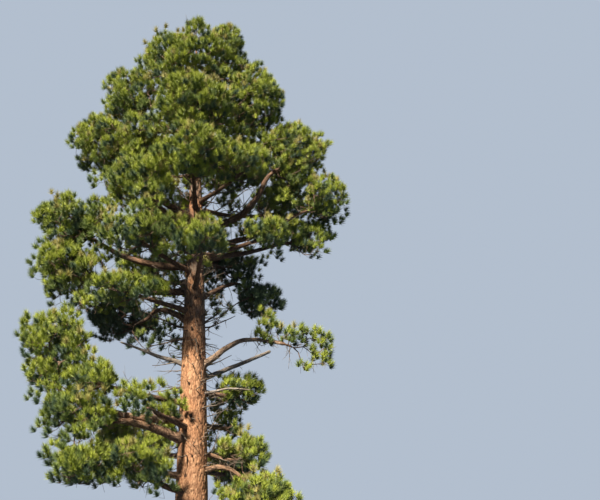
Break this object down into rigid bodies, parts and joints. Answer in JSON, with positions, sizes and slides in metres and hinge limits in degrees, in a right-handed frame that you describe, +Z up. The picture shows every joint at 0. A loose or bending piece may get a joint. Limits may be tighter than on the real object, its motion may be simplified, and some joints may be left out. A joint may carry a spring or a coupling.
{
  "type": "pine tree",
  "caption": "Tall old pine with a leaning plated trunk, long bent boughs, dead limbs and a ragged crown of long-needled foliage masses.",
  "frame": {"origin": "middle of the trunk's flat cut at ground level", "axes": "+Z up, +X to the right of someone facing the tree as in the picture, -Y towards them"},
  "size_m": [11.9284, 9.1443, 24.7069],
  "materials": {
    "trunk_bark": "thick orange-brown plated bark with dark furrows",
    "limb_bark": "rough scaly bark, grey-brown with orange flakes",
    "dead_wood": "bare weathered grey wood",
    "needles": "long needles in tufts, yellow-green outside and dark olive inside"
  },
  "bodies": {
    "root": {"arm_inner": "limb_bark", "arm_outer": "limb_bark", "bough_low_left_rim": "limb_bark", "bough_low_left_shelf": "limb_bark", "bough_low_left_skirt": "limb_bark", "bough_low_right_lower": "limb_bark", "bough_low_right_skirt": "limb_bark", "bough_mid_left_dark": "limb_bark", "bough_mid_left_rim": "limb_bark", "bough_mid_right_dark": "limb_bark", "bough_right_rim": "limb_bark", "bough_right_under": "limb_bark", "bough_shelf_left": "limb_bark", "bough_upper_left": "limb_bark", "bough_upper_right": "limb_bark", "dead_limb_left": "dead_wood", "dead_limb_right": "dead_wood", "dead_limb_right_low": "dead_wood", "foliage_arm": "needles", "foliage_back_head": "needles", "foliage_back_low_left": "needles", "foliage_back_low_right": "needles", "foliage_back_mid": "needles", "foliage_back_right": "needles", "foliage_back_shelf": "needles", "foliage_back_upper_left": "needles", "foliage_back_upper_right": "needles", "foliage_head_front": "needles", "foliage_head_left": "needles", "foliage_head_right": "needles", "foliage_low_left_front": "needles", "foliage_low_left_inner": "needles", "foliage_low_left_near": "needles", "foliage_low_left_rim": "needles", "foliage_low_left_shelf": "needles", "foliage_low_left_skirt": "needles", "foliage_low_right_lower": "needles", "foliage_low_right_mid": "needles", "foliage_low_right_skirt": "needles", "foliage_low_right_upper": "needles", "foliage_mid_left_dark": "needles", "foliage_mid_left_front": "needles", "foliage_mid_left_rim": "needles", "foliage_mid_right_dark": "needles", "foliage_right_front": "needles", "foliage_right_rim": "needles", "foliage_right_under": "needles", "foliage_shelf_front": "needles", "foliage_shelf_left": "needles", "foliage_shelf_left_front": "needles", "foliage_shelf_right_dark": "needles", "foliage_top_left": "needles", "foliage_top_peak": "needles", "foliage_top_right": "needles", "foliage_upper_front": "needles", "foliage_upper_left": "needles", "foliage_upper_left_front": "needles", "foliage_upper_right": "needles", "foliage_upper_right_front": "needles", "trunk": "trunk_bark"}
  },
  "joints": []
}
